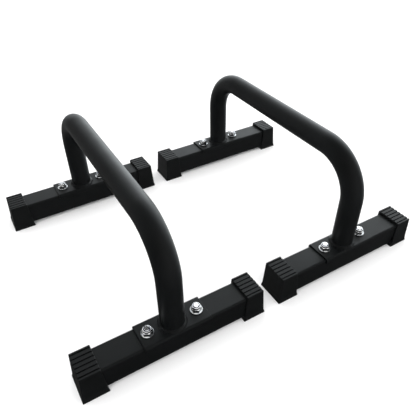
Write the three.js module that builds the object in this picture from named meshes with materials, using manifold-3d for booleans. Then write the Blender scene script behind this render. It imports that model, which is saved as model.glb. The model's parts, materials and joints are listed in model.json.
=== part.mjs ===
// A pair of low parallel bars, in millimetres.
//
// Each bar is one round tube bent into an upside-down U. Its two legs are welded to saddle plates,
// and each saddle plate is bolted over a square foot beam with a ribbed rubber cap on either end.
//
// Frame: +X runs along the foot beams, +Y along the grip rails, +Z is up.
// The origin lies on the floor, midway between the two bars.

import * as THREE from "three";
import { mergeVertices } from "three/addons/utils/BufferGeometryUtils.js";
import Module from "manifold-3d";

const wasm = await Module();
wasm.setup();

// ---------------------------------------------------------------- driving dimensions

const BAR_SPACING = 400; // between the two grip rails, centre to centre
const FIT_GAP = 0.3; // left between pieces that touch on the real object

const RAIL_HEIGHT = 253; // floor to the axis of the grip rail
const LEG_SPACING = 495; // between the two legs of one bar, centre to centre
const HANDLE_DIAMETER = 44.5;
const HANDLE_WALL = 2.5;
const BEND_RADIUS = 90; // to the tube's axis

const BEAM_SIZE = 50; // outside of the square foot beam
const BEAM_WALL = 2;
const BEAM_CORNER = 4; // outer corner radius
const BEAM_LENGTH = 342;
const SOLE_THICKNESS = 7; // rubber under the foot beam

const PLATE_LENGTH = 130;
const PLATE_THICKNESS = 3;
const PLATE_DROP = 11; // overall height of the folded saddle, lips included
const PLATE_BEND = 4.5; // outer radius of the fold

const CAP_HEIGHT = 63;
const CAP_TOP_END = 177; // beam centre to the cap's outer face, at the top
const CAP_TOP_INNER = 141; // beam centre to the cap's inner edge, at the top
const CAP_TOP_HALF_WIDTH = 28;
const CAP_BASE_END = 182.5;
const CAP_BASE_INNER = 135;
const CAP_BASE_HALF_WIDTH = 30.5;
const GROOVE_COUNT = 6; // across the top of the cap, along the beam
const GROOVE_PITCH = 9.1;
const GROOVE_WIDTH = 2.6;
const GROOVE_DEPTH = 2.4;

const WELD_LEG = 4.5; // size of the fillet weld on tube and plate
const WELD_CROWN = 0.6; // middle of its face, as a share of the leg

const BOLT_OFFSET = 48; // leg axis to bolt axis, along the beam
const BOLT_DIAMETER = 10;
const BOLT_HOLE = 11; // clearance hole in plate and beam
const BOLT_CLEARANCE = 0.3; // round the bolt, inside washer and nut
const BOLT_HEAD_DIAMETER = 24;
const BOLT_HEAD_HEIGHT = 4.8;
const BOLT_DOME = [[0.45, 0.12], [0.8, 0.45], [1, 0.85]]; // [radius, height] as shares of the head's
const BOLT_CHAMFER = 1;
const BOLT_STICKOUT = 1.5; // thread showing above the nut
const BOLT_NECK = 10; // square neck under the head
const NECK_STICKOUT = 1; // neck above the inside of the beam's wall
const NECK_HOLE = 10.8; // square hole that holds the neck
const WASHER_DIAMETER = 24;
const WASHER_THICKNESS = 2;
const NUT_ACROSS_FLATS = 17;
const NUT_HEX_HEIGHT = 6.4;
const NUT_HEIGHT = 10; // with the nylon-insert collar
const NUT_COLLAR_DIAMETER = 15.8;
const NUT_COLLAR_BASE = 16.6; // its diameter where it leaves the hexagon
const NUT_COLLAR_CYLINDER = 0.4; // straight part at the foot of the collar
const NUT_COLLAR_EDGE = 0.6; // height of the rolled edge at its top
const NUT_COLLAR_ROLL = 0.4; // how far that edge turns in
const RING_OUTER_DIAMETER = 12.6; // nylon ring held in the collar
const RING_THICKNESS = 2;

const ROUND_SIDES = 24; // facets round the handle tube
const BEND_STEPS = 8; // facets along each bend
const SMALL_SIDES = 16; // facets round bolts, washers and nuts
const CORNER_STEPS = 2; // half the facets in each rounded corner of a folded or drawn section
const MERGE_DISTANCE = 1e-3; // corners closer than this are one corner
const OVERLAP = 1; // how far a cutting or joined solid runs past the face it meets

// ---------------------------------------------------------------- heights that follow

const BEAM_BOTTOM = SOLE_THICKNESS;
const BEAM_TOP = BEAM_BOTTOM + BEAM_SIZE;
const PLATE_UNDERSIDE = BEAM_TOP + FIT_GAP;
const PLATE_TOP = PLATE_UNDERSIDE + PLATE_THICKNESS;
const LEG_BOTTOM = PLATE_TOP + FIT_GAP;
const WASHER_BOTTOM = PLATE_TOP + FIT_GAP;
const NUT_BOTTOM = WASHER_BOTTOM + WASHER_THICKNESS + FIT_GAP;
const NUT_TOP = NUT_BOTTOM + NUT_HEIGHT;
const RING_BOTTOM = NUT_TOP - RING_THICKNESS - FIT_GAP;
const BOLT_TOP = NUT_TOP + BOLT_STICKOUT;
const BOLT_SEAT = BEAM_BOTTOM - FIT_GAP;

// ---------------------------------------------------------------- materials

const powderCoat = new THREE.MeshStandardMaterial({ color: 0x1a1b1c, roughness: 0.5, metalness: 0.0 });
const rubber = new THREE.MeshStandardMaterial({ color: 0x161717, roughness: 0.75, metalness: 0.0 });
const zinc = new THREE.MeshStandardMaterial({ color: 0xc4c6c8, roughness: 0.3, metalness: 1.0 });
const nylon = new THREE.MeshStandardMaterial({ color: 0x70789a, roughness: 0.5, metalness: 0.0 });

// ---------------------------------------------------------------- solids

/** Keeps only positions, merges shared corners and drops triangles that this leaves without area. */
function closed(geometry) {
  const bare = geometry.clone();
  bare.deleteAttribute("normal");
  bare.deleteAttribute("uv");
  const merged = mergeVertices(bare, MERGE_DISTANCE);
  const corners = Array.from(merged.index.array);
  const kept = [];
  for (let i = 0; i < corners.length; i += 3) {
    const [a, b, c] = corners.slice(i, i + 3);
    if (a !== b && b !== c && c !== a) kept.push(a, b, c);
  }
  merged.setIndex(kept);
  merged.computeVertexNormals();
  return merged;
}

function toManifold(geometry) {
  const mesh = closed(geometry);
  return new wasm.Manifold(new wasm.Mesh({
    numProp: 3,
    vertProperties: Float32Array.from(mesh.attributes.position.array),
    triVerts: Uint32Array.from(mesh.index.array),
  }));
}

function toGeometry(manifold) {
  const mesh = manifold.getMesh();
  const geometry = new THREE.BufferGeometry();
  geometry.setAttribute("position", new THREE.BufferAttribute(mesh.vertProperties, 3));
  geometry.setIndex(new THREE.BufferAttribute(mesh.triVerts, 1));
  geometry.computeVertexNormals();
  return geometry;
}

function cut(body, ...tools) {
  return tools.reduce((rest, tool) => rest.subtract(toManifold(tool)), toManifold(body));
}

/** Anticlockwise rectangle with rounded corners, centred on the origin of the shape's plane. */
function roundedRectangle(width, height, radius, Kind = THREE.Shape) {
  const x = width / 2;
  const y = height / 2;
  const outline = new Kind();
  outline.moveTo(x, -y + radius);
  outline.lineTo(x, y - radius);
  outline.absarc(x - radius, y - radius, radius, 0, Math.PI / 2);
  outline.lineTo(-x + radius, y);
  outline.absarc(-x + radius, y - radius, radius, Math.PI / 2, Math.PI);
  outline.lineTo(-x, -y + radius);
  outline.absarc(-x + radius, -y + radius, radius, Math.PI, 1.5 * Math.PI);
  outline.lineTo(x - radius, -y);
  outline.absarc(x - radius, -y + radius, radius, 1.5 * Math.PI, 2 * Math.PI);
  return outline;
}

/** Extrudes a shape drawn in (Y, Z) along X, centred on X = 0. */
function extrudeAlongX(shape, length) {
  const geometry = new THREE.ExtrudeGeometry(shape, {
    depth: length,
    bevelEnabled: false,
    curveSegments: CORNER_STEPS,
  });
  geometry.translate(0, 0, -length / 2);
  // shape x -> Y, shape y -> Z, extrusion -> X
  geometry.applyMatrix4(new THREE.Matrix4().makeBasis(
    new THREE.Vector3(0, 1, 0),
    new THREE.Vector3(0, 0, 1),
    new THREE.Vector3(1, 0, 0),
  ));
  return geometry;
}

/** Solid of revolution about Z from [radius, height] points. */
function lathe(points, sides) {
  const geometry = new THREE.LatheGeometry(points.map(([r, z]) => new THREE.Vector2(r, z)), sides);
  geometry.rotateX(Math.PI / 2);
  return geometry;
}

/** Cylinder standing on Z between two heights. */
function post(radius, bottom, top, sides) {
  return lathe([[0, bottom], [radius, bottom], [radius, top], [0, top]], sides);
}

// ---------------------------------------------------------------- handle

/**
 * The handle's axis in the bar's YZ plane: up one leg, round a bend, along the rail and down again.
 * Its parameter gives each straight stretch one step and each bend BEND_STEPS.
 */
class HandleAxis extends THREE.Curve {
  static STEPS = 2 * BEND_STEPS + 3;

  getPoint(t, target = new THREE.Vector3()) {
    const half = HandleAxis.STEPS / 2;
    const fromEnd = half - Math.abs(t * HandleAxis.STEPS - half);
    const side = t < 0.5 ? -1 : 1;
    const legY = LEG_SPACING / 2;
    const bendStart = RAIL_HEIGHT - BEND_RADIUS;
    if (fromEnd <= 1) {
      return target.set(0, side * legY, THREE.MathUtils.lerp(LEG_BOTTOM, bendStart, fromEnd));
    }
    if (fromEnd <= 1 + BEND_STEPS) {
      const angle = ((fromEnd - 1) / BEND_STEPS) * (Math.PI / 2);
      const y = legY - BEND_RADIUS * (1 - Math.cos(angle));
      return target.set(0, side * y, bendStart + BEND_RADIUS * Math.sin(angle));
    }
    const toMiddle = (half - fromEnd) / 0.5;
    return target.set(0, side * toMiddle * (legY - BEND_RADIUS), RAIL_HEIGHT);
  }

  // The sweep steps evenly in the parameter, not in length, so the straights take one step each.
  getPointAt(t, target) {
    return this.getPoint(t, target);
  }

  getTangentAt(t, target) {
    return this.getTangent(t, target);
  }
}

/** Bent tube, hollow and open at both ends. */
function handleTube() {
  const section = new THREE.Shape().absarc(0, 0, HANDLE_DIAMETER / 2, 0, 2 * Math.PI);
  section.holes.push(new THREE.Path().absarc(0, 0, HANDLE_DIAMETER / 2 - HANDLE_WALL, 0, 2 * Math.PI));
  const geometry = new THREE.ExtrudeGeometry(section, {
    steps: HandleAxis.STEPS,
    curveSegments: ROUND_SIDES / 2,
    extrudePath: new HandleAxis(),
  });
  return closed(geometry);
}

/** Fillet weld round the base of a leg, with a slightly crowned face. */
function weldBead() {
  const inner = HANDLE_DIAMETER / 2 + FIT_GAP;
  const bottom = PLATE_TOP + FIT_GAP;
  const crown = WELD_CROWN * WELD_LEG;
  return lathe([
    [inner, bottom],
    [inner + WELD_LEG, bottom],
    [inner + crown, bottom + crown],
    [inner, bottom + WELD_LEG],
    [inner, bottom],
  ], ROUND_SIDES);
}

// ---------------------------------------------------------------- saddle plate

/** Folded channel: flat top with a short lip down either side of the beam, and two bolt holes. */
function saddlePlate() {
  const innerHalf = BEAM_SIZE / 2 + FIT_GAP;
  const outerHalf = innerHalf + PLATE_THICKNESS;
  const lipBottom = PLATE_TOP - PLATE_DROP;
  const innerBend = PLATE_BEND - PLATE_THICKNESS;
  const section = new THREE.Shape();
  section.moveTo(outerHalf, lipBottom);
  section.lineTo(outerHalf, PLATE_TOP - PLATE_BEND);
  section.absarc(outerHalf - PLATE_BEND, PLATE_TOP - PLATE_BEND, PLATE_BEND, 0, Math.PI / 2);
  section.lineTo(-outerHalf + PLATE_BEND, PLATE_TOP);
  section.absarc(-outerHalf + PLATE_BEND, PLATE_TOP - PLATE_BEND, PLATE_BEND, Math.PI / 2, Math.PI);
  section.lineTo(-outerHalf, lipBottom);
  section.lineTo(-innerHalf, lipBottom);
  section.lineTo(-innerHalf, PLATE_UNDERSIDE - innerBend);
  section.absarc(-innerHalf + innerBend, PLATE_UNDERSIDE - innerBend, innerBend, Math.PI, Math.PI / 2, true);
  section.lineTo(innerHalf - innerBend, PLATE_UNDERSIDE);
  section.absarc(innerHalf - innerBend, PLATE_UNDERSIDE - innerBend, innerBend, Math.PI / 2, 0, true);
  section.lineTo(innerHalf, lipBottom);
  const holes = [-1, 1].map((side) => {
    const hole = post(BOLT_HOLE / 2, PLATE_UNDERSIDE - OVERLAP, PLATE_TOP + OVERLAP, SMALL_SIDES);
    return hole.translate(side * BOLT_OFFSET, 0, 0);
  });
  return toGeometry(cut(extrudeAlongX(section, PLATE_LENGTH), ...holes));
}

// ---------------------------------------------------------------- foot beam

/** Square tube with a round hole above and a square hole below for each bolt. */
function footBeam() {
  const section = roundedRectangle(BEAM_SIZE, BEAM_SIZE, BEAM_CORNER);
  const bore = BEAM_SIZE - 2 * BEAM_WALL;
  section.holes.push(roundedRectangle(bore, bore, BEAM_CORNER - BEAM_WALL, THREE.Path));
  const beam = extrudeAlongX(section, BEAM_LENGTH).translate(0, 0, BEAM_BOTTOM + BEAM_SIZE / 2);
  const holes = [-1, 1].flatMap((side) => {
    const round = post(BOLT_HOLE / 2, BEAM_TOP - BEAM_WALL - OVERLAP, BEAM_TOP + OVERLAP, SMALL_SIDES);
    const square = new THREE.BoxGeometry(NECK_HOLE, NECK_HOLE, BEAM_WALL + 2 * OVERLAP);
    square.translate(0, 0, BEAM_BOTTOM + BEAM_WALL / 2);
    return [round, square].map((hole) => hole.translate(side * BOLT_OFFSET, 0, 0));
  });
  return toGeometry(cut(beam, ...holes));
}

// ---------------------------------------------------------------- end cap

/** A box whose lower and upper faces have their own sizes. */
function taperedBlock(low, high) {
  const geometry = new THREE.BoxGeometry(1, 1, 1);
  const position = geometry.attributes.position;
  for (let i = 0; i < position.count; i += 1) {
    const face = position.getZ(i) < 0 ? low : high;
    const x = position.getX(i) < 0 ? face.inner : face.outer;
    position.setXYZ(i, x, 2 * position.getY(i) * face.halfWidth, face.z);
  }
  return geometry;
}

/** Rubber cap for the +X end of a beam: flared block with a pocket for the beam and a grooved top. */
function endCap() {
  const body = taperedBlock(
    { inner: CAP_BASE_INNER, outer: CAP_BASE_END, halfWidth: CAP_BASE_HALF_WIDTH, z: 0 },
    { inner: CAP_TOP_INNER, outer: CAP_TOP_END, halfWidth: CAP_TOP_HALF_WIDTH, z: CAP_HEIGHT },
  );
  const pocketSize = BEAM_SIZE + 2 * FIT_GAP;
  const pocketEnd = BEAM_LENGTH / 2 + FIT_GAP;
  const pocketLength = 2 * (pocketEnd - CAP_BASE_INNER);
  const pocket = extrudeAlongX(roundedRectangle(pocketSize, pocketSize, BEAM_CORNER), pocketLength);
  pocket.translate(pocketEnd - pocketLength / 2, 0, BEAM_BOTTOM + BEAM_SIZE / 2);
  const grooves = Array.from({ length: GROOVE_COUNT }, (_, i) => {
    const groove = new THREE.BoxGeometry(2 * CAP_BASE_END, GROOVE_WIDTH, 2 * GROOVE_DEPTH);
    return groove.translate(CAP_BASE_END, (i - (GROOVE_COUNT - 1) / 2) * GROOVE_PITCH, CAP_HEIGHT);
  });
  return toGeometry(cut(body, pocket, ...grooves));
}

// ---------------------------------------------------------------- fasteners

/** Carriage bolt: domed head under the beam, square neck through its wall, round shank to the nut. */
function bolt() {
  const head = BOLT_HEAD_DIAMETER / 2;
  const headBottom = BOLT_SEAT - BOLT_HEAD_HEIGHT;
  const dome = lathe([
    [0, headBottom],
    ...BOLT_DOME.map(([r, h]) => [r * head, headBottom + h * BOLT_HEAD_HEIGHT]),
    [head, BOLT_SEAT],
    [0, BOLT_SEAT],
  ], SMALL_SIDES);
  const neckBottom = BOLT_SEAT - OVERLAP;
  const neckTop = BEAM_BOTTOM + BEAM_WALL + NECK_STICKOUT;
  const neck = new THREE.BoxGeometry(BOLT_NECK, BOLT_NECK, neckTop - neckBottom);
  neck.translate(0, 0, (neckTop + neckBottom) / 2);
  const shank = lathe([
    [0, neckBottom],
    [BOLT_DIAMETER / 2, neckBottom],
    [BOLT_DIAMETER / 2, BOLT_TOP - BOLT_CHAMFER],
    [BOLT_DIAMETER / 2 - BOLT_CHAMFER, BOLT_TOP],
    [0, BOLT_TOP],
  ], SMALL_SIDES);
  return toGeometry(toManifold(dome).add(toManifold(neck)).add(toManifold(shank)));
}

/** Flat ring round the bolt. */
function flatRing(outerDiameter, bottom, top) {
  const bore = BOLT_DIAMETER / 2 + BOLT_CLEARANCE;
  return lathe([
    [bore, bottom],
    [outerDiameter / 2, bottom],
    [outerDiameter / 2, top],
    [bore, top],
    [bore, bottom],
  ], SMALL_SIDES);
}

/** Lock nut: hexagon with a round collar, bored for the bolt and counterbored for the nylon ring. */
function lockNut() {
  const cornerRadius = NUT_ACROSS_FLATS / Math.sqrt(3);
  const hexTop = NUT_BOTTOM + NUT_HEX_HEIGHT;
  const hex = post(cornerRadius, NUT_BOTTOM, hexTop, 6);
  const collar = lathe([
    [0, hexTop - OVERLAP],
    [NUT_COLLAR_BASE / 2, hexTop - OVERLAP],
    [NUT_COLLAR_BASE / 2, hexTop + NUT_COLLAR_CYLINDER],
    [NUT_COLLAR_DIAMETER / 2, NUT_TOP - NUT_COLLAR_EDGE],
    [NUT_COLLAR_DIAMETER / 2 - NUT_COLLAR_ROLL, NUT_TOP],
    [0, NUT_TOP],
  ], SMALL_SIDES);
  const boreRadius = BOLT_DIAMETER / 2 + BOLT_CLEARANCE;
  const seatRadius = RING_OUTER_DIAMETER / 2 + FIT_GAP;
  const bore = post(boreRadius, NUT_BOTTOM - OVERLAP, NUT_TOP + OVERLAP, SMALL_SIDES);
  const seat = post(seatRadius, RING_BOTTOM - FIT_GAP, NUT_TOP + OVERLAP, SMALL_SIDES);
  const body = toManifold(hex).add(toManifold(collar));
  return toGeometry(body.subtract(toManifold(bore)).subtract(toManifold(seat)));
}

// ---------------------------------------------------------------- assembly

const shapes = {
  handle: handleTube(),
  plate: saddlePlate(),
  weld: weldBead(),
  beam: footBeam(),
  cap: endCap(),
  bolt: bolt(),
  washer: flatRing(WASHER_DIAMETER, WASHER_BOTTOM, WASHER_BOTTOM + WASHER_THICKNESS),
  nut: lockNut(),
  ring: flatRing(RING_OUTER_DIAMETER, RING_BOTTOM, RING_BOTTOM + RING_THICKNESS),
};

function piece(name, shape, material, x = 0, turned = false) {
  const mesh = new THREE.Mesh(shapes[shape], material);
  mesh.name = name;
  mesh.position.x = x;
  mesh.rotation.z = turned ? Math.PI : 0;
  return mesh;
}

/** Everything that stands on one foot beam, below and round one leg. */
function foot(name) {
  const group = new THREE.Group();
  group.add(piece(`${name}_beam`, "beam", powderCoat));
  group.add(piece(`${name}_saddle_plate`, "plate", powderCoat));
  group.add(piece(`${name}_weld_bead`, "weld", powderCoat));
  for (const [side, sign] of [["left", -1], ["right", 1]]) {
    group.add(piece(`${name}_${side}_end_cap`, "cap", rubber, 0, sign < 0));
    group.add(piece(`${name}_${side}_bolt`, "bolt", zinc, sign * BOLT_OFFSET));
    group.add(piece(`${name}_${side}_washer`, "washer", zinc, sign * BOLT_OFFSET));
    group.add(piece(`${name}_${side}_lock_nut`, "nut", zinc, sign * BOLT_OFFSET));
    group.add(piece(`${name}_${side}_nylon_ring`, "ring", nylon, sign * BOLT_OFFSET));
  }
  return group;
}

function bar(name) {
  const group = new THREE.Group();
  group.add(piece(`${name}_handle`, "handle", powderCoat));
  for (const [end, sign] of [["front", -1], ["back", 1]]) {
    const standing = foot(`${name}_${end}`);
    standing.position.y = sign * (LEG_SPACING / 2);
    group.add(standing);
  }
  return group;
}

const parallelBars = new THREE.Group();
for (const [name, sign] of [["left_bar", -1], ["right_bar", 1]]) {
  const standing = bar(name);
  standing.position.x = sign * (BAR_SPACING / 2);
  parallelBars.add(standing);
}

export default parallelBars;
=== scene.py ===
# A pair of low parallel bars: the detailed pieces that stand for the CAD nodes, their finishes,
# and a plain studio round them. Everything is in metres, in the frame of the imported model:
# +X along the foot beams, +Y along the grip rails, +Z up, origin on the floor between the bars.

import json
import math

import bmesh
import bpy
from mathutils import Matrix, Vector

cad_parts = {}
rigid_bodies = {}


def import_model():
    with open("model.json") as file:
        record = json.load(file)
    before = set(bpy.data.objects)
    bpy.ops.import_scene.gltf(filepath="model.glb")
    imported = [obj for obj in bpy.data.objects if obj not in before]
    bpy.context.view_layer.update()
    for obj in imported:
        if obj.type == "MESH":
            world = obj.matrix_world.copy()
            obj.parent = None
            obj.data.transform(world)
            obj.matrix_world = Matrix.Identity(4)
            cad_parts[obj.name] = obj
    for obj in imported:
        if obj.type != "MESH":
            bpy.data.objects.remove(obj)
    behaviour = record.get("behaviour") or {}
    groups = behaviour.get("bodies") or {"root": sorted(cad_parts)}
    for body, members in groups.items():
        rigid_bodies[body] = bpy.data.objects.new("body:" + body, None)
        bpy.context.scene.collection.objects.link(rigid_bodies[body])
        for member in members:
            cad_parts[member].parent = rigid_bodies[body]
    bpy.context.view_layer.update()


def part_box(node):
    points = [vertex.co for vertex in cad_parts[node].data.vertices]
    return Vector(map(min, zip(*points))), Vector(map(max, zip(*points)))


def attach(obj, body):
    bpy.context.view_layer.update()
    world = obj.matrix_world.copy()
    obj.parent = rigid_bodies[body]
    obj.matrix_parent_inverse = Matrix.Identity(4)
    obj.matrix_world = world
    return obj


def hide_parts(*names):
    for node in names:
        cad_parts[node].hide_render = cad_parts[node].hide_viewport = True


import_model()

MM = 0.001
TURN = 2 * math.pi
DIAGONAL = math.sqrt(0.5)
OVERLAP = 1 * MM  # how far a cutting or joined shape runs past the face it meets

# ---------------------------------------------------------------- names in the frame

BARS = ("left_bar", "right_bar")
ENDS = ("front", "back")
SIDES = {"left": -1, "right": 1}
SAMPLE_FOOT = "left_bar_front"  # every foot has the same sizes, which are read from this one


def size(node):
    low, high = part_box(node)
    return high - low


def centre(node):
    low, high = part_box(node)
    return (low + high) / 2


def floor_point(node):
    """The point on the floor under the middle of a node."""
    middle = centre(node)
    return Vector((middle.x, middle.y, 0.0))


# ---------------------------------------------------------------- sizes

# Read from the frame: pieces that the design fixes.
TUBE_RADIUS = size("left_bar_handle").x / 2
RAIL_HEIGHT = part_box("left_bar_handle")[1].z - TUBE_RADIUS
LEG_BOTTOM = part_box("left_bar_handle")[0].z
LEG_REACH = size("left_bar_handle").y / 2 - TUBE_RADIUS  # middle of the rail to a leg's axis
BEAM_LENGTH, BEAM_SIZE, _ = size(f"{SAMPLE_FOOT}_beam")
BEAM_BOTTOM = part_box(f"{SAMPLE_FOOT}_beam")[0].z
BEAM_TOP = BEAM_BOTTOM + BEAM_SIZE
PLATE_LENGTH, PLATE_WIDTH, PLATE_DROP = size(f"{SAMPLE_FOOT}_saddle_plate")
PLATE_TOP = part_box(f"{SAMPLE_FOOT}_saddle_plate")[1].z
CAP_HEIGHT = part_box(f"{SAMPLE_FOOT}_right_end_cap")[1].z
WASHER_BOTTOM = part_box(f"{SAMPLE_FOOT}_right_washer")[0].z
WASHER_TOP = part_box(f"{SAMPLE_FOOT}_right_washer")[1].z
WASHER_RADIUS = size(f"{SAMPLE_FOOT}_right_washer").x / 2
NUT_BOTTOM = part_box(f"{SAMPLE_FOOT}_right_lock_nut")[0].z
NUT_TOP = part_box(f"{SAMPLE_FOOT}_right_lock_nut")[1].z
NUT_ACROSS_FLATS = size(f"{SAMPLE_FOOT}_right_lock_nut").x
NUT_CORNER_RADIUS = NUT_ACROSS_FLATS / math.sqrt(3)
BOLT_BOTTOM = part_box(f"{SAMPLE_FOOT}_right_bolt")[0].z
BOLT_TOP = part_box(f"{SAMPLE_FOOT}_right_bolt")[1].z
BOLT_HEAD_RADIUS = size(f"{SAMPLE_FOOT}_right_bolt").x / 2
BOLT_OFFSET = centre(f"{SAMPLE_FOOT}_right_bolt").x - centre(f"{SAMPLE_FOOT}_beam").x
RING_RADIUS = size(f"{SAMPLE_FOOT}_right_nylon_ring").x / 2

# Handle
BEND_RADIUS = 90 * MM
TUBE_WALL = 2.5 * MM
TUBE_RIM = 0.4 * MM  # rounding of the cut ends
TUBE_SIDES = 72
BEND_STEPS = 30
LEG_STEPS = 6
RAIL_STEPS = 16

# Weld
WELD_LEG = 4.6 * MM
WELD_ROOT = 0.3 * MM  # how far the bead runs into tube and plate
WELD_RIPPLES = 46
WELD_RIPPLE_HEIGHT = 0.25 * MM
WELD_CROWN = 0.1  # of the leg
WELD_SWELLS = [(3, 0.25 * MM, 0.7), (11, 0.15 * MM, 0.0)]  # round the leg: (how many, height, phase)
WELD_LAG = 0.55  # how far a ripple's edges trail its middle, in ripples
WELD_STEPS_PER_RIPPLE = 8
WELD_PROFILE_STEPS = 12

# Saddle plate
PLATE_THICKNESS = 3 * MM
PLATE_FOLD = 4.5 * MM  # outer radius
PLATE_EDGE = 0.5 * MM
BOLT_HOLE = 11 * MM

# Foot beam
BEAM_WALL = 2 * MM
BEAM_CORNER = 4 * MM
NECK_HOLE = 10.8 * MM
NECK_HOLE_CORNER = 1 * MM

# End cap
CAP_TOP_END = 177 * MM
CAP_BASE_END = 182.5 * MM
CAP_TOP_INNER = 141 * MM
CAP_BASE_INNER = 135 * MM
CAP_TOP_HALF_WIDTH = 28 * MM
CAP_BASE_HALF_WIDTH = size(f"{SAMPLE_FOOT}_right_end_cap").y / 2
CAP_CORNER = 1.2 * MM
CAP_LEAST_CORNER = 0.4 * MM  # left where the top and sole are drawn in
CAP_TOP_ROUNDING = 0.9 * MM
CAP_SOLE_ROUNDING = 0.8 * MM
CAP_LIP = 2.4 * MM  # height of the upright edge round the sole
CAP_FLARE_TOP = 9 * MM  # where the flare above the lip meets the side
CAP_FLARE = 1.1 * MM  # how far the flare reaches out
CAP_FIT = 0.3 * MM
CAP_CORNER_STEPS = 6
CAP_EDGE = 0.3 * MM
GROOVE_COUNT = 6  # across the top of the cap, along the beam
GROOVE_PITCH = 9.1 * MM
GROOVE_DEPTH = 2.4 * MM
GROOVE_WIDTH = 2.6 * MM
GROOVE_ROUNDING = 0.8 * MM

# Fasteners
BOLT_SEAT = BEAM_BOTTOM - 0.1 * MM
BOLT_HEAD_EDGE = 0.7 * MM
BOLT_HEAD_STEPS = 24
BOLT_NECK_CORNER = 0.8 * MM
BOLT_HEAD_ROUNDING = 0.3 * MM
BOLT_END_CHAMFER = 0.6 * MM
THREAD_RADIUS = 5 * MM
THREAD_PITCH = 1.5 * MM
THREAD_DEPTH = 0.85 * MM
THREAD_LENGTH = 26 * MM
THREAD_CURVE = 1.3  # above one, the groove's sides are hollow
THREAD_STEPS = 8  # rings for each turn
THREAD_SIDES = 48
SHANK_RADIUS = 4.55 * MM
BOLT_NECK = 10 * MM
BOLT_NECK_HEIGHT = 3.6 * MM
NUT_SIDES = 6
NUT_BORE = 5.1 * MM
NUT_HEX_HEIGHT = 6.4 * MM
NUT_HEX_EDGE = 0.35 * MM
NUT_EDGE = 0.2 * MM
NUT_LEAD_IN = 0.6 * MM
NUT_CHAMFER_RADIUS = 8.15 * MM  # where the corner chamfer starts, from the axis
NUT_CHAMFER_SLOPE = math.tan(math.radians(30))
COLLAR_FOOT_RADIUS = 8.05 * MM
COLLAR_RADIUS = 7.9 * MM
COLLAR_FOOT = 0.2 * MM
COLLAR_SHOULDER = 0.9 * MM  # from the hexagon to where the collar is upright
COLLAR_BEND = 0.5 * MM
COLLAR_ROUNDING = 1.1 * MM
COLLAR_LIP = 0.25 * MM  # thickness of the rim that is crimped over the nylon ring
COLLAR_MOUTH = 6.3 * MM  # radius inside that rim
COLLAR_MOUTH_ROUNDING = 0.2 * MM
RING_DEPTH = 2.4 * MM  # from the nut's top to the seat of the ring
RING_SLACK = 0.1 * MM
RING_BITE = 0.2 * MM  # how far the thread presses into the nylon
RING_EDGE = 0.2 * MM
RING_SHOULDER = 0.3 * MM
RING_MOUTH = 0.4 * MM
WASHER_BORE = 5.4 * MM
WASHER_EDGE = 0.2 * MM
WASHER_ROLL = 0.7 * MM  # its upper outer edge, rolled over by the punch
WASHER_BORE_EDGE = 0.3 * MM
ROUND_SIDES = 96
ARC_STEPS = 6

# Finishes. Colours are linear, as (place on the noise, colour) stops; reliefs are depths.
COAT_BLACK = [(0.3, (0.0033, 0.0043, 0.0047)), (0.7, (0.0047, 0.0060, 0.0066))]
COAT_ROUGHNESS = (0.36, 0.48)
COAT_PEEL = 0.06 * MM
COAT_FINE_PEEL = 0.02 * MM
DUST_COLOUR = [(0.3, (0.03, 0.03, 0.03)), (0.7, (0.06, 0.06, 0.058))]
DUST_SPECK = [(0.0, 1.0), (0.045, 0.0)]  # how large a speck is in its cell
DUST_PATCH = [(0.6, 0.0), (0.72, 1.0)]  # where specks lie at all
RUBBER_BLACK = [(0.3, (0.0033, 0.0042, 0.0045)), (0.75, (0.0049, 0.0061, 0.0065))]
RUBBER_BLOOM = [(0.2, (0.008, 0.008, 0.008)), (0.8, (0.011, 0.011, 0.0105))]
RUBBER_BLOOM_PATCH = [(0.5, 0.0), (0.85, 0.35)]
RUBBER_ROUGHNESS = (0.36, 0.5)
RUBBER_GRAIN = 0.03 * MM
RUBBER_UNEVENNESS = 0.05 * MM
ZINC_CLOUD = [(0.25, (0.66, 0.68, 0.72)), (0.5, (0.82, 0.83, 0.84)), (0.8, (0.88, 0.87, 0.83))]
ZINC_ROUGHNESS = (0.08, 0.2)
ZINC_SCRATCH = 0.01 * MM
ZINC_UNEVENNESS = 0.02 * MM
NYLON_BLUE = [(0.3, (0.02, 0.022, 0.065)), (0.7, (0.035, 0.04, 0.1))]
NYLON_ROUGHNESS = (0.35, 0.55)
NYLON_GRAIN = 0.02 * MM
FLOOR_TONE = [(0.3, (0.91, 0.91, 0.91)), (0.7, (0.93, 0.93, 0.93))]
FLOOR_ROUGHNESS = (0.8, 0.95)
FLOOR_SPECULAR = 0.1

# Studio
FLOOR_HALF = 20.0
CAMERA_PLACE = Vector((-0.3903, -0.6974, 0.7002))
CAMERA_LOOK = Vector((0.3961, 0.6736, -0.6241))
CAMERA_ROLL = math.radians(-0.5)
CAMERA_LENS = 38.44
CAMERA_SENSOR = 36.0
CAMERA_REACH = 60.0
TENT_BRIGHTNESS = 1.6
WINDOW_DIRECTION = Vector((0.77, 0.63, 0.08))
WINDOW_COLOUR = (0.94, 1.0, 1.03)
WINDOW_RADIANCE = 2.4
# Glows are (cosine of the angle to the direction, brightness) stops.
WINDOW_GLOW = [(0.25, 0.0), (0.42, 0.04), (0.56, 0.2), (0.68, 0.31),
               (0.82, 0.42), (0.93, 0.95), (1.0, 1.0)]
BACK_DIRECTION = Vector((-0.3, 0.95, 0.1))
BACK_GLOW = [(0.3, 0.01), (0.6, 0.08), (0.8, 0.15)]
FRONT_DIRECTION = Vector((0.4, -0.9, 0.3))
FRONT_GLOW = [(0.3, 0.0), (0.8, 0.08), (1.0, 0.18)]
PANEL_SIZE = 3.4
PANEL_HEIGHT = 1.3
PANEL_POWER = 40.0
PANEL_LIGHTS = ("_bolt_detail", "_lock_nut_detail")  # how the names of the pieces it lights end

# ---------------------------------------------------------------- outlines


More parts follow.
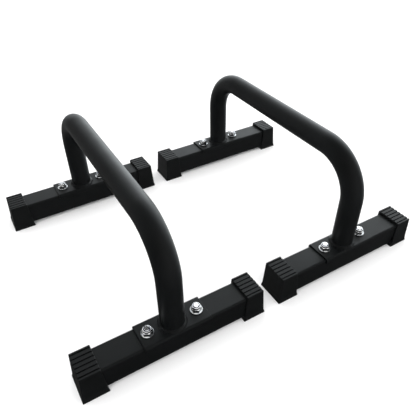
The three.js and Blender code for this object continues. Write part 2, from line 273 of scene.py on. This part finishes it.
def arc(centre_point, radius, start, end, steps):
    """Points along a circle, angles in radians, both ends included."""
    return [
        (centre_point[0] + radius * math.cos(a), centre_point[1] + radius * math.sin(a))
        for a in (start + (end - start) * i / steps for i in range(steps + 1))
    ]


def filleted(corners, closed=True, steps=ARC_STEPS):
    """The outline through (x, y, radius) corners, each rounded to its radius."""
    outline = []
    count = len(corners)
    for i, (x, y, radius) in enumerate(corners):
        is_end = not closed and i in (0, count - 1)
        if radius == 0 or is_end:
            outline.append((x, y))
            continue
        corner = Vector((x, y))
        before = (Vector(corners[i - 1][:2]) - corner).normalized()
        after = (Vector(corners[(i + 1) % count][:2]) - corner).normalized()
        half = before.angle(after) / 2
        middle = corner + (before + after).normalized() * (radius / math.sin(half))
        first = corner + before * (radius / math.tan(half)) - middle
        last = corner + after * (radius / math.tan(half)) - middle
        start = math.atan2(first.y, first.x)
        sweep = math.remainder(math.atan2(last.y, last.x) - start, TURN)
        outline += arc(middle, radius, start, start + sweep, steps)
    return outline


def rounded_rectangle(width, height, radius, steps=ARC_STEPS, middle=(0.0, 0.0)):
    x, y = width / 2, height / 2
    corners = [(x, -y, radius), (x, y, radius), (-x, y, radius), (-x, -y, radius)]
    return [(px + middle[0], py + middle[1]) for px, py in filleted(corners, steps=steps)]


# ---------------------------------------------------------------- meshes


def new_object(name, mesh):
    obj = bpy.data.objects.new(name, mesh)
    bpy.context.scene.collection.objects.link(obj)
    return obj


def to_object(name, bm):
    bmesh.ops.recalc_face_normals(bm, faces=bm.faces)
    mesh = bpy.data.meshes.new(name)
    bm.to_mesh(mesh)
    bm.free()
    return new_object(name, mesh)


def loft(name, rings, endless=False):
    """A skin over rings of equally many points. It ends in a flat face, or joins up if endless."""
    bm = bmesh.new()
    loops = [[bm.verts.new(point) for point in ring] for ring in rings]
    pairs = list(zip(loops, loops[1:]))
    if endless:
        pairs.append((loops[-1], loops[0]))
    for low, high in pairs:
        for i in range(len(low)):
            j = (i + 1) % len(low)
            bm.faces.new((low[i], low[j], high[j], high[i]))
    if not endless:
        bm.faces.new(loops[0])
        bm.faces.new(loops[-1])
    return to_object(name, bm)


def turned(name, profile, sides=ROUND_SIDES):
    """A solid of revolution about Z. The profile of (radius, height) either joins up on itself,
    or starts and ends on the axis."""
    on_axis = profile[0][0] == 0
    rim = profile[1:-1] if on_axis else profile
    rings = [
        [(r * math.cos(TURN * k / sides), r * math.sin(TURN * k / sides), z) for k in range(sides)]
        for r, z in rim
    ]
    if not on_axis:
        return loft(name, rings, endless=True)
    obj = loft(name, rings)
    bm = bmesh.new()
    bm.from_mesh(obj.data)
    discs = [face for face in bm.faces if len(face.verts) == sides]
    for disc in discs:
        level = disc.calc_center_median().z
        is_first = abs(level - rim[0][1]) < abs(level - rim[-1][1])
        height = profile[0][1] if is_first else profile[-1][1]
        pole = bmesh.ops.poke(bm, faces=[disc])["verts"][0]
        pole.co = (0.0, 0.0, height)
    bm.to_mesh(obj.data)
    bm.free()
    return obj


def post(name, radius, bottom, top):
    """A cylinder standing on Z."""
    return turned(name, [(0, bottom), (radius, bottom), (radius, top), (0, top)])


def along_x(name, outline, start, end):
    """A bar whose section is an outline of (y, z), from X = start to X = end."""
    return loft(name, [[(x, y, z) for y, z in outline] for x in (start, end)])


def apply_modifiers(obj):
    graph = bpy.context.evaluated_depsgraph_get()
    mesh = bpy.data.meshes.new_from_object(obj.evaluated_get(graph))
    obj.modifiers.clear()
    obj.data = mesh
    return obj


def combine(obj, tool, operation):
    """Cuts, joins or intersects obj with a tool, which is used up."""
    step = obj.modifiers.new(operation, "BOOLEAN")
    step.operation = operation
    step.solver = "EXACT"
    step.object = tool
    apply_modifiers(obj)
    bpy.data.objects.remove(tool)
    return obj


def soften(obj, width, segments=2, sharper_than=40):
    """Rounds every edge that turns by more than an angle in degrees."""
    step = obj.modifiers.new("soften", "BEVEL")
    step.width = width
    step.segments = segments
    step.limit_method = "ANGLE"
    step.angle_limit = math.radians(sharper_than)
    step.use_clamp_overlap = True
    step.miter_outer = "MITER_ARC"
    return apply_modifiers(obj)


def shade(obj, sharper_than=38):
    """Smooth shading that keeps flat faces flat and real corners crisp."""
    bm = bmesh.new()
    bm.from_mesh(obj.data)
    bmesh.ops.remove_doubles(bm, verts=bm.verts, dist=1e-7)
    limit = math.radians(sharper_than)
    for face in bm.faces:
        face.smooth = True
    for edge in bm.edges:
        edge.smooth = len(edge.link_faces) == 2 and edge.calc_face_angle() < limit
    bm.to_mesh(obj.data)
    bm.free()
    step = obj.modifiers.new("flat faces stay flat", "WEIGHTED_NORMAL")
    step.keep_sharp = True
    return apply_modifiers(obj)


def copy_at(shape, name, place, turned_round=False):
    """A copy of a shape whose own mesh is in the frame, so that its finish differs from its twins'."""
    mesh = shape.data.copy()
    turn = Matrix.Rotation(math.pi, 4, "Z") if turned_round else Matrix.Identity(4)
    mesh.transform(Matrix.Translation(place) @ turn)
    mesh.name = name
    return new_object(name, mesh)


# ---------------------------------------------------------------- handle


def handle_stations():
    """Points on the handle's axis in the YZ plane, each with the direction of its section."""
    bend_start = RAIL_HEIGHT - BEND_RADIUS
    bend_reach = LEG_REACH - BEND_RADIUS
    leg = [(LEG_REACH, LEG_BOTTOM + (bend_start - LEG_BOTTOM) * i / LEG_STEPS, 0.0)
           for i in range(LEG_STEPS)]
    bend = []
    for i in range(BEND_STEPS + 1):
        angle = math.pi / 2 * i / BEND_STEPS
        y, z = bend_reach + BEND_RADIUS * math.cos(angle), bend_start + BEND_RADIUS * math.sin(angle)
        bend.append((y, z, angle))
    rail = [(bend_reach * (1 - 2 * i / RAIL_STEPS), RAIL_HEIGHT, math.pi / 2)
            for i in range(1, RAIL_STEPS)]
    far = [(-y, z, math.pi - angle) for y, z, angle in reversed(leg + bend)]
    return leg + bend + rail + far


def tube_ring(station, radius, lift=0.0):
    """A circle round the axis at a station, moved up by lift."""
    y, z, angle = station
    ring = []
    for k in range(TUBE_SIDES):
        turn = TURN * k / TUBE_SIDES
        out = radius * math.cos(turn)
        side = radius * math.sin(turn)
        ring.append((side, y + out * math.cos(angle), z + out * math.sin(angle) + lift))
    return ring


def rim_rings(station):
    """The rounded cut end of the tube, from its outside to its inside."""
    outer, inner = TUBE_RADIUS, TUBE_RADIUS - TUBE_WALL
    outside = arc((outer - TUBE_RIM, TUBE_RIM), TUBE_RIM, 0.0, -math.pi / 2, ARC_STEPS)
    inside = arc((inner + TUBE_RIM, TUBE_RIM), TUBE_RIM, -math.pi / 2, -math.pi, ARC_STEPS)
    return [tube_ring(station, radius, lift) for radius, lift in outside + inside]


def make_handle():
    stations = handle_stations()
    inner = TUBE_RADIUS - TUBE_WALL
    start = list(reversed(rim_rings(stations[0])))
    outside = [tube_ring(station, TUBE_RADIUS) for station in stations[1:-1]]
    end = rim_rings(stations[-1])
    inside = [tube_ring(station, inner) for station in reversed(stations[1:-1])]
    return shade(loft("handle_shape", start + outside + end + inside, endless=True))


# ---------------------------------------------------------------- weld


def make_weld():
    """A fillet weld laid in overlapping ripples, with a low spot where it starts and stops."""
    steps = WELD_RIPPLES * WELD_STEPS_PER_RIPPLE
    tube = TUBE_RADIUS - WELD_ROOT
    plate = PLATE_TOP - WELD_ROOT
    rings = []
    for k in range(steps):
        turn = TURN * k / steps
        ring = [(tube, plate)]
        for i in range(WELD_PROFILE_STEPS + 1):
            across = i / WELD_PROFILE_STEPS
            lag = WELD_LAG * (2 * across - 1) ** 2
            ripple = abs(math.sin(math.pi * (k / WELD_STEPS_PER_RIPPLE + lag)))
            body = math.sin(math.pi * across)
            swell = sum(tall * math.sin(many * turn + phase) for many, tall, phase in WELD_SWELLS)
            leg = WELD_LEG + swell
            radius = TUBE_RADIUS + leg * (1 - across)
            height = PLATE_TOP + leg * across
            crown = (WELD_CROWN * leg + WELD_RIPPLE_HEIGHT * ripple) * body
            ring.append((radius + crown * DIAGONAL, height + crown * DIAGONAL))
        rings.append([(r * math.cos(turn), r * math.sin(turn), z) for r, z in ring])
    return shade(loft("weld_shape", rings, endless=True), sharper_than=60)


# ---------------------------------------------------------------- saddle plate


def make_plate():
    outer, lip = PLATE_WIDTH / 2, PLATE_TOP - PLATE_DROP
    inner, under = outer - PLATE_THICKNESS, PLATE_TOP - PLATE_THICKNESS
    fold = PLATE_FOLD - PLATE_THICKNESS
    outline = filleted([
        (outer, lip, 0), (outer, PLATE_TOP, PLATE_FOLD), (-outer, PLATE_TOP, PLATE_FOLD),
        (-outer, lip, 0), (-inner, lip, 0), (-inner, under, fold), (inner, under, fold),
        (inner, lip, 0),
    ])
    plate = along_x("plate_shape", outline, -PLATE_LENGTH / 2, PLATE_LENGTH / 2)
    for side in SIDES.values():
        hole = post("hole", BOLT_HOLE / 2, under - OVERLAP, PLATE_TOP + OVERLAP)
        hole.data.transform(Matrix.Translation((side * BOLT_OFFSET, 0, 0)))
        combine(plate, hole, "DIFFERENCE")
    return shade(soften(plate, PLATE_EDGE, segments=3, sharper_than=50))


# ---------------------------------------------------------------- foot beam


def make_beam():
    """Square tube with a round hole above and a square hole below for each bolt."""
    middle = (0.0, (BEAM_BOTTOM + BEAM_TOP) / 2)
    bore = BEAM_SIZE - 2 * BEAM_WALL
    ends = (-BEAM_LENGTH / 2, BEAM_LENGTH / 2)
    outside = rounded_rectangle(BEAM_SIZE, BEAM_SIZE, BEAM_CORNER, middle=middle)
    inside = rounded_rectangle(bore, bore, BEAM_CORNER - BEAM_WALL, middle=middle)
    rings = [[(x, y, z) for y, z in outside] for x in ends]
    rings += [[(x, y, z) for y, z in inside] for x in reversed(ends)]
    beam = loft("beam_shape", rings, endless=True)
    for side in SIDES.values():
        shift = Matrix.Translation((side * BOLT_OFFSET, 0, 0))
        round_hole = post("hole", BOLT_HOLE / 2, BEAM_TOP - BEAM_WALL - OVERLAP, BEAM_TOP + OVERLAP)
        neck = rounded_rectangle(NECK_HOLE, NECK_HOLE, NECK_HOLE_CORNER)
        square_hole = loft("hole", [[(x, y, z) for x, y in neck]
                                    for z in (BEAM_BOTTOM - OVERLAP, BEAM_BOTTOM + BEAM_WALL + OVERLAP)])
        for hole in (round_hole, square_hole):
            hole.data.transform(shift)
            combine(beam, hole, "DIFFERENCE")
    return shade(beam)


# ---------------------------------------------------------------- end cap


def cap_levels():
    """(height, reach of the flare, inset) from the sole to the top."""
    levels = []
    for inset, rise in arc((CAP_SOLE_ROUNDING, CAP_SOLE_ROUNDING), CAP_SOLE_ROUNDING,
                           -math.pi / 2, -math.pi, ARC_STEPS):
        levels.append((rise, CAP_FLARE, inset))
    levels.append((CAP_LIP, CAP_FLARE, 0.0))
    rise = CAP_FLARE_TOP - CAP_LIP
    for i in range(1, ARC_STEPS + 1):
        angle = math.pi / 2 * i / ARC_STEPS
        levels.append((CAP_LIP + rise * math.sin(angle), CAP_FLARE * (1 - math.sin(angle)), 0.0))
    top = CAP_HEIGHT - CAP_TOP_ROUNDING
    levels.append((top, 0.0, 0.0))
    for i in range(1, ARC_STEPS + 1):
        angle = math.pi / 2 * i / ARC_STEPS
        levels.append((top + CAP_TOP_ROUNDING * math.sin(angle), 0.0,
                       CAP_TOP_ROUNDING * (1 - math.cos(angle))))
    return levels


def cap_ring(height, flare, inset):
    """The cap's outline at a height, tapering to the top and then let out or drawn in all round."""
    low = 1 - height / CAP_HEIGHT
    out = flare - inset
    end = CAP_TOP_END + (CAP_BASE_END - CAP_FLARE - CAP_TOP_END) * low + out
    inner = CAP_TOP_INNER + (CAP_BASE_INNER + CAP_FLARE - CAP_TOP_INNER) * low - out
    half = CAP_TOP_HALF_WIDTH + (CAP_BASE_HALF_WIDTH - CAP_FLARE - CAP_TOP_HALF_WIDTH) * low + out
    corner = max(CAP_CORNER - inset, CAP_LEAST_CORNER)
    outline = rounded_rectangle(end - inner, 2 * half, corner, steps=CAP_CORNER_STEPS,
                                middle=((end + inner) / 2, 0.0))
    return [(x, y, height) for x, y in outline]


def make_cap():
    """The cap for the +X end of a beam."""
    cap = loft("cap_shape", [cap_ring(*level) for level in cap_levels()])
    pocket_size = BEAM_SIZE + 2 * CAP_FIT
    pocket = rounded_rectangle(pocket_size, pocket_size, BEAM_CORNER,
                               middle=(0.0, (BEAM_BOTTOM + BEAM_TOP) / 2))
    pocket_start, pocket_end = CAP_BASE_INNER - OVERLAP, BEAM_LENGTH / 2 + CAP_FIT
    combine(cap, along_x("pocket", pocket, pocket_start, pocket_end), "DIFFERENCE")
    half, floor, above = GROOVE_WIDTH / 2, CAP_HEIGHT - GROOVE_DEPTH, CAP_HEIGHT + OVERLAP
    for i in range(GROOVE_COUNT):
        y = (i - (GROOVE_COUNT - 1) / 2) * GROOVE_PITCH
        groove = filleted([(y - half, above, 0), (y - half, floor, GROOVE_ROUNDING),
                           (y + half, floor, GROOVE_ROUNDING), (y + half, above, 0)])
        combine(cap, along_x("groove", groove, CAP_BASE_INNER, CAP_BASE_END + OVERLAP), "DIFFERENCE")
    return shade(soften(cap, CAP_EDGE))


# ---------------------------------------------------------------- fasteners


def thread_ring(height):
    """The bolt's section at a height: a helical thread near the top, run out at both its ends."""
    start = BOLT_TOP - THREAD_LENGTH
    depth = THREAD_DEPTH * min(max((height - start) / THREAD_PITCH, 0.0), 1.0)
    chamfer = THREAD_RADIUS - BOLT_END_CHAMFER + (BOLT_TOP - height)
    ring = []
    for k in range(THREAD_SIDES):
        turn = k / THREAD_SIDES
        phase = (height / THREAD_PITCH - turn) % 1.0
        groove = 1 - abs(2 * phase - 1)
        crest = THREAD_RADIUS if height > start else SHANK_RADIUS
        radius = min(crest - depth * groove ** THREAD_CURVE, chamfer)
        ring.append((radius * math.cos(TURN * turn), radius * math.sin(TURN * turn), height))
    return ring


def make_bolt():
    """Carriage bolt: domed head under the beam, square neck in its wall, thread up through the nut."""
    head_height = BOLT_SEAT - BOLT_BOTTOM
    curve = (BOLT_HEAD_RADIUS**2 + head_height**2) / (2 * head_height)
    reach = math.acos((curve - head_height + BOLT_HEAD_EDGE) / curve)
    dome = [(curve * math.sin(angle), BOLT_BOTTOM + curve * (1 - math.cos(angle)))
            for angle in (reach * i / BOLT_HEAD_STEPS for i in range(1, BOLT_HEAD_STEPS + 1))]
    rim = [(BOLT_HEAD_RADIUS, BOLT_SEAT - BOLT_HEAD_EDGE), (BOLT_HEAD_RADIUS, BOLT_SEAT)]
    bolt = turned("bolt_shape", [(0, BOLT_BOTTOM)] + dome + rim + [(0, BOLT_SEAT)])
    neck = rounded_rectangle(BOLT_NECK, BOLT_NECK, BOLT_NECK_CORNER)
    combine(bolt, loft("neck", [[(x, y, z) for x, y in neck]
                                for z in (BOLT_SEAT - OVERLAP, BOLT_SEAT + BOLT_NECK_HEIGHT)]), "UNION")
    soften(bolt, BOLT_HEAD_ROUNDING)
    count = round(THREAD_LENGTH / THREAD_PITCH * THREAD_STEPS)
    start = BOLT_TOP - THREAD_LENGTH
    heights = [BOLT_SEAT] + [start + THREAD_LENGTH * i / count for i in range(count + 1)]
    combine(bolt, loft("shank", [thread_ring(height) for height in heights]), "UNION")
    return shade(bolt, sharper_than=50)


def make_washer():
    """Stamped ring: its upper outer edge is rolled over, its lower one is nearly square."""
    outline = filleted([
        (WASHER_BORE, WASHER_BOTTOM, WASHER_EDGE), (WASHER_RADIUS, WASHER_BOTTOM, WASHER_EDGE),
        (WASHER_RADIUS, WASHER_TOP, WASHER_ROLL), (WASHER_BORE, WASHER_TOP, WASHER_BORE_EDGE),
    ])
    return shade(turned("washer_shape", outline))


def make_nut():
    """Lock nut: hexagon with chamfered corners and a round collar crimped over the nylon ring."""
    hex_top = NUT_BOTTOM + NUT_HEX_HEIGHT
    corners = [(NUT_CORNER_RADIUS * math.sin(turn), NUT_CORNER_RADIUS * math.cos(turn))
               for turn in (TURN * k / NUT_SIDES for k in range(NUT_SIDES))]
    nut = loft("nut_shape", [[(x, y, z) for x, y in corners] for z in (NUT_BOTTOM, hex_top)])
    soften(nut, NUT_HEX_EDGE, sharper_than=50)
    wide = NUT_CORNER_RADIUS + OVERLAP
    drop = (wide - NUT_CHAMFER_RADIUS) * NUT_CHAMFER_SLOPE
    chamfer = turned("chamfer", [
        (0, NUT_BOTTOM), (NUT_CHAMFER_RADIUS, NUT_BOTTOM), (wide, NUT_BOTTOM + drop),
        (wide, hex_top - drop), (NUT_CHAMFER_RADIUS, hex_top), (0, hex_top),
    ])
    combine(nut, chamfer, "INTERSECT")
    collar = filleted([
        (0, hex_top - OVERLAP, 0), (COLLAR_FOOT_RADIUS, hex_top - OVERLAP, 0),
        (COLLAR_FOOT_RADIUS, hex_top + COLLAR_FOOT, 0),
        (COLLAR_RADIUS, hex_top + COLLAR_SHOULDER, COLLAR_BEND),
        (COLLAR_RADIUS, NUT_TOP, COLLAR_ROUNDING), (0, NUT_TOP, 0),
    ], closed=False)
    combine(nut, turned("collar", collar), "UNION")
    above, shelf, rim = NUT_TOP + OVERLAP, NUT_TOP - RING_DEPTH, NUT_TOP - COLLAR_LIP
    bore = filleted([
        (0, NUT_BOTTOM - OVERLAP, 0), (NUT_BORE + OVERLAP + NUT_LEAD_IN, NUT_BOTTOM - OVERLAP, 0),
        (NUT_BORE, NUT_BOTTOM + NUT_LEAD_IN, 0), (NUT_BORE, shelf, 0), (RING_RADIUS, shelf, 0),
        (RING_RADIUS, rim, 0), (COLLAR_MOUTH, rim, 0),
        (COLLAR_MOUTH, NUT_TOP - COLLAR_MOUTH_ROUNDING, COLLAR_MOUTH_ROUNDING / 2),
        (COLLAR_MOUTH + COLLAR_MOUTH_ROUNDING + OVERLAP, above, 0), (0, above, 0),
    ], closed=False)
    combine(nut, turned("bore", bore), "DIFFERENCE")
    return shade(soften(nut, NUT_EDGE), sharper_than=45)


def make_ring():
    """The nylon ring under the nut's crimped rim, which the thread has pressed into."""
    low, high = NUT_TOP - RING_DEPTH + RING_SLACK, NUT_TOP - COLLAR_LIP - RING_SLACK
    inner, outer = THREAD_RADIUS - RING_BITE, RING_RADIUS - RING_SLACK
    outline = filleted([
        (inner, low, RING_EDGE), (outer, low, RING_EDGE),
        (outer, high, RING_SHOULDER), (inner, high, RING_MOUTH),
    ])
    return shade(turned("ring_shape", outline))


# ---------------------------------------------------------------- materials


def new_material(name):
    """A new material, with its node tree and its Principled shader."""
    material = bpy.data.materials.new(name)
    material.use_nodes = True
    tree = material.node_tree
    shader = tree.nodes["Principled BSDF"]
    return material, tree, shader


def noise(tree, per_metre, detail=3.0, roughness=0.5, stretch=(1, 1, 1)):
    """Noise in the piece's own frame, of so many features per metre."""
    where = tree.nodes.new("ShaderNodeTexCoord")
    mapping = tree.nodes.new("ShaderNodeMapping")
    mapping.inputs["Scale"].default_value = stretch
    texture = tree.nodes.new("ShaderNodeTexNoise")
    texture.inputs["Scale"].default_value = per_metre
    texture.inputs["Detail"].default_value = detail
    texture.inputs["Roughness"].default_value = roughness
    tree.links.new(where.outputs["Object"], mapping.inputs["Vector"])
    tree.links.new(mapping.outputs["Vector"], texture.inputs["Vector"])
    return texture.outputs["Fac"]


def cells(tree, per_metre, feature="F1"):
    """Distance to the nearest cell centre, in the piece's own frame."""
    where = tree.nodes.new("ShaderNodeTexCoord")
    texture = tree.nodes.new("ShaderNodeTexVoronoi")
    texture.feature = feature
    texture.inputs["Scale"].default_value = per_metre
    tree.links.new(where.outputs["Object"], texture.inputs["Vector"])
    return texture.outputs["Distance"]


def ramp(tree, value, stops):
    """Colours or greys along a value, as (position, colour) stops."""
    node = tree.nodes.new("ShaderNodeValToRGB")
    points = node.color_ramp.elements
    while len(points) < len(stops):
        points.new(0.5)
    for point, (position, colour) in zip(points, stops):
        point.position = position
        point.color = (*colour, 1.0) if isinstance(colour, tuple) else (colour, colour, colour, 1.0)
    tree.links.new(value, node.inputs["Fac"])
    return node.outputs["Color"]


def blend(tree, share, first, second):
    """Mixes two colours by a share."""
    node = tree.nodes.new("ShaderNodeMix")
    node.data_type = "RGBA"
    tree.links.new(share, node.inputs["Factor"])
    tree.links.new(first, node.inputs["A"])
    tree.links.new(second, node.inputs["B"])
    return node.outputs["Result"]


def to_range(tree, value, low, high):
    node = tree.nodes.new("ShaderNodeMapRange")
    node.inputs["To Min"].default_value = low
    node.inputs["To Max"].default_value = high
    tree.links.new(value, node.inputs["Value"])
    return node.outputs["Result"]


def bump(tree, height, depth, below=None):
    """Relief of a depth in metres, on top of an earlier relief."""
    node = tree.nodes.new("ShaderNodeBump")
    node.inputs["Strength"].default_value = 1.0
    node.inputs["Distance"].default_value = depth
    tree.links.new(height, node.inputs["Height"])
    if below is not None:
        tree.links.new(below, node.inputs["Normal"])
    return node.outputs["Normal"]


def powder_coat():
    """Satin black powder coat: fine orange peel, slow changes of gloss and a few dust specks."""
    material, tree, shader = new_material("black_powder_coat")
    black = ramp(tree, noise(tree, per_metre=14, detail=4), COAT_BLACK)
    dust = tree.nodes.new("ShaderNodeMath")
    dust.operation = "MULTIPLY"
    tree.links.new(ramp(tree, cells(tree, per_metre=420), DUST_SPECK), dust.inputs[0])
    tree.links.new(ramp(tree, noise(tree, per_metre=60, detail=2), DUST_PATCH), dust.inputs[1])
    dust_colour = ramp(tree, noise(tree, per_metre=300), DUST_COLOUR)
    tree.links.new(blend(tree, dust.outputs[0], black, dust_colour), shader.inputs["Base Color"])
    gloss = to_range(tree, noise(tree, per_metre=35, detail=5), *COAT_ROUGHNESS)
    tree.links.new(gloss, shader.inputs["Roughness"])
    peel = bump(tree, noise(tree, per_metre=650, detail=2), COAT_PEEL)
    fine_peel = bump(tree, cells(tree, per_metre=1900, feature="SMOOTH_F1"), COAT_FINE_PEEL, peel)
    tree.links.new(fine_peel, shader.inputs["Normal"])
    return material


def rubber():
    """Moulded black cap: a fine spark-eroded grain, with a faint grey bloom."""
    material, tree, shader = new_material("rubber_cap")
    black = ramp(tree, noise(tree, per_metre=22, detail=4), RUBBER_BLACK)
    patches = ramp(tree, noise(tree, per_metre=9, detail=6, roughness=0.65), RUBBER_BLOOM_PATCH)
    bloom = ramp(tree, noise(tree, per_metre=500), RUBBER_BLOOM)
    tree.links.new(blend(tree, patches, black, bloom), shader.inputs["Base Color"])
    gloss = to_range(tree, noise(tree, per_metre=80, detail=4), *RUBBER_ROUGHNESS)
    tree.links.new(gloss, shader.inputs["Roughness"])
    grain = bump(tree, noise(tree, per_metre=2200, detail=2), RUBBER_GRAIN)
    uneven = bump(tree, noise(tree, per_metre=120, detail=2), RUBBER_UNEVENNESS, grain)
    tree.links.new(uneven, shader.inputs["Normal"])
    return material


def zinc():
    """Bright zinc plate: a cool, slightly clouded metal with fine scratches."""
    material, tree, shader = new_material("zinc_hardware")
    cloud = ramp(tree, noise(tree, per_metre=160, detail=4), ZINC_CLOUD)
    tree.links.new(cloud, shader.inputs["Base Color"])
    gloss = to_range(tree, noise(tree, per_metre=420, detail=5), *ZINC_ROUGHNESS)
    tree.links.new(gloss, shader.inputs["Roughness"])
    scratches = bump(tree, noise(tree, per_metre=900, detail=4, stretch=(1, 9, 1)), ZINC_SCRATCH)
    uneven = bump(tree, noise(tree, per_metre=260, detail=3), ZINC_UNEVENNESS, scratches)
    tree.links.new(uneven, shader.inputs["Normal"])
    shader.inputs["Metallic"].default_value = 1.0
    return material


def nylon():
    """Dark blue nylon, slightly mottled where the thread has marked it."""
    material, tree, shader = new_material("nylon_insert")
    tint = ramp(tree, noise(tree, per_metre=700, detail=3), NYLON_BLUE)
    tree.links.new(tint, shader.inputs["Base Color"])
    gloss = to_range(tree, noise(tree, per_metre=900), *NYLON_ROUGHNESS)
    tree.links.new(gloss, shader.inputs["Roughness"])
    tree.links.new(bump(tree, noise(tree, per_metre=1800), NYLON_GRAIN), shader.inputs["Normal"])
    return material


def studio_floor():
    """Plain matt white, very slightly uneven."""
    material, tree, shader = new_material("studio_floor")
    tone = ramp(tree, noise(tree, per_metre=3, detail=3), FLOOR_TONE)
    tree.links.new(tone, shader.inputs["Base Color"])
    gloss = to_range(tree, noise(tree, per_metre=200), *FLOOR_ROUGHNESS)
    tree.links.new(gloss, shader.inputs["Roughness"])
    shader.inputs["Specular IOR Level"].default_value = FLOOR_SPECULAR
    return material


# ---------------------------------------------------------------- assembly


def place(shape, node, body, slot, material, at, turned_round=False):
    """Puts a detailed copy of a shape where a CAD node is."""
    piece = copy_at(shape, f"{node}_detail", at, turned_round)
    piece.data.materials.clear()
    piece.data.materials.append(material)
    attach(piece, body)
    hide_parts(node)


def dress_foot(foot, body, shapes, materials):
    """All the detailed pieces of one foot."""
    middle = floor_point(f"{foot}_beam")
    for kind in ("beam", "saddle_plate", "weld_bead"):
        place(shapes[kind], f"{foot}_{kind}", body, "black_powder_coat",
              materials["black_powder_coat"], middle)
    for side, sign in SIDES.items():
        place(shapes["end_cap"], f"{foot}_{side}_end_cap", body, "rubber_cap",
              materials["rubber_cap"], middle, turned_round=sign < 0)
        for kind in ("bolt", "washer", "lock_nut"):
            node = f"{foot}_{side}_{kind}"
            place(shapes[kind], node, body, "zinc_hardware",
                  materials["zinc_hardware"], floor_point(node))
        node = f"{foot}_{side}_nylon_ring"
        place(shapes["nylon_ring"], node, body, "nylon_insert",
              materials["nylon_insert"], floor_point(node))


def build_bars():
    shapes = {
        "handle": make_handle(), "weld_bead": make_weld(), "saddle_plate": make_plate(),
        "beam": make_beam(), "end_cap": make_cap(), "bolt": make_bolt(), "washer": make_washer(),
        "lock_nut": make_nut(), "nylon_ring": make_ring(),
    }
    materials = {
        "black_powder_coat": powder_coat(), "rubber_cap": rubber(), "zinc_hardware": zinc(),
        "nylon_insert": nylon(),
    }
    for bar in BARS:
        place(shapes["handle"], f"{bar}_handle", bar, "black_powder_coat",
              materials["black_powder_coat"], floor_point(f"{bar}_handle"))
        for end in ENDS:
            dress_foot(f"{bar}_{end}", bar, shapes, materials)
    for shape in shapes.values():
        bpy.data.objects.remove(shape)


# ---------------------------------------------------------------- studio


def make_camera():
    data = bpy.data.cameras.new("camera")
    data.lens = CAMERA_LENS
    data.sensor_width = CAMERA_SENSOR
    data.clip_end = CAMERA_REACH
    camera = bpy.data.objects.new("camera", data)
    bpy.context.scene.collection.objects.link(camera)
    aim = CAMERA_LOOK.to_track_quat("-Z", "Y").to_matrix().to_4x4()
    camera.matrix_world = Matrix.Translation(CAMERA_PLACE) @ aim @ Matrix.Rotation(CAMERA_ROLL, 4, "Z")
    bpy.context.scene.camera = camera


def make_floor():
    bm = bmesh.new()
    corners = [(-FLOOR_HALF, -FLOOR_HALF), (FLOOR_HALF, -FLOOR_HALF),
               (FLOOR_HALF, FLOOR_HALF), (-FLOOR_HALF, FLOOR_HALF)]
    bm.faces.new([bm.verts.new((x, y, 0.0)) for x, y in corners])
    floor = to_object("studio_floor", bm)
    floor.data.materials.append(studio_floor())
    floor.visible_glossy = False


def towards(tree, view, direction, glow):
    """Light by how nearly a view faces a direction, as (cosine, brightness) stops."""
    facing = tree.nodes.new("ShaderNodeVectorMath")
    facing.operation = "DOT_PRODUCT"
    facing.inputs[1].default_value = direction.normalized()
    tree.links.new(view, facing.inputs[0])
    return ramp(tree, facing.outputs["Value"], glow)


def make_world():
    """A bright even tent. Reflections see a dim room instead, with a window behind, to the right."""
    world = bpy.data.worlds.new("studio")
    world.use_nodes = True
    tree = world.node_tree
    view = tree.nodes.new("ShaderNodeTexCoord").outputs["Generated"]
    window = tree.nodes.new("ShaderNodeBackground")
    window.inputs["Strength"].default_value = WINDOW_RADIANCE
    glow = [(at, tuple(light * part for part in WINDOW_COLOUR)) for at, light in WINDOW_GLOW]
    tree.links.new(towards(tree, view, WINDOW_DIRECTION, glow), window.inputs["Color"])
    room = window
    for direction, glow in ((BACK_DIRECTION, BACK_GLOW), (FRONT_DIRECTION, FRONT_GLOW)):
        wall = tree.nodes.new("ShaderNodeBackground")
        tree.links.new(towards(tree, view, direction, glow), wall.inputs["Color"])
        both = tree.nodes.new("ShaderNodeAddShader")
        tree.links.new(room.outputs[0], both.inputs[0])
        tree.links.new(wall.outputs["Background"], both.inputs[1])
        room = both
    tent = tree.nodes["Background"]
    tent.inputs["Color"].default_value = (1.0, 1.0, 1.0, 1.0)
    tent.inputs["Strength"].default_value = TENT_BRIGHTNESS
    mirrored = tree.nodes.new("ShaderNodeMixShader")
    path = tree.nodes.new("ShaderNodeLightPath")
    tree.links.new(path.outputs["Is Glossy Ray"], mirrored.inputs["Fac"])
    tree.links.new(tent.outputs["Background"], mirrored.inputs[1])
    tree.links.new(room.outputs[0], mirrored.inputs[2])
    tree.links.new(mirrored.outputs["Shader"], tree.nodes["World Output"].inputs["Surface"])
    world.cycles.sampling_method = "NONE"  # so that every reflection sees the room, and not the tent
    bpy.context.scene.world = world


def make_hardware_panel():
    """A soft panel overhead for the nuts and bolts alone, whose tops would else mirror the dim room."""
    lit = bpy.data.collections.new("nuts_and_bolts")
    for piece in bpy.context.scene.objects:
        if piece.name.endswith(PANEL_LIGHTS):
            lit.objects.link(piece)
    data = bpy.data.lights.new("hardware_panel", "AREA")
    data.size = PANEL_SIZE
    data.energy = PANEL_POWER
    panel = bpy.data.objects.new("hardware_panel", data)
    panel.location = (0.0, 0.0, PANEL_HEIGHT)
    panel.visible_camera = False
    panel.light_linking.receiver_collection = lit
    bpy.context.scene.collection.objects.link(panel)


def make_studio():
    make_camera()
    make_floor()
    make_world()
    bpy.context.scene.view_settings.view_transform = "Standard"


make_studio()
build_bars()
make_hardware_panel()
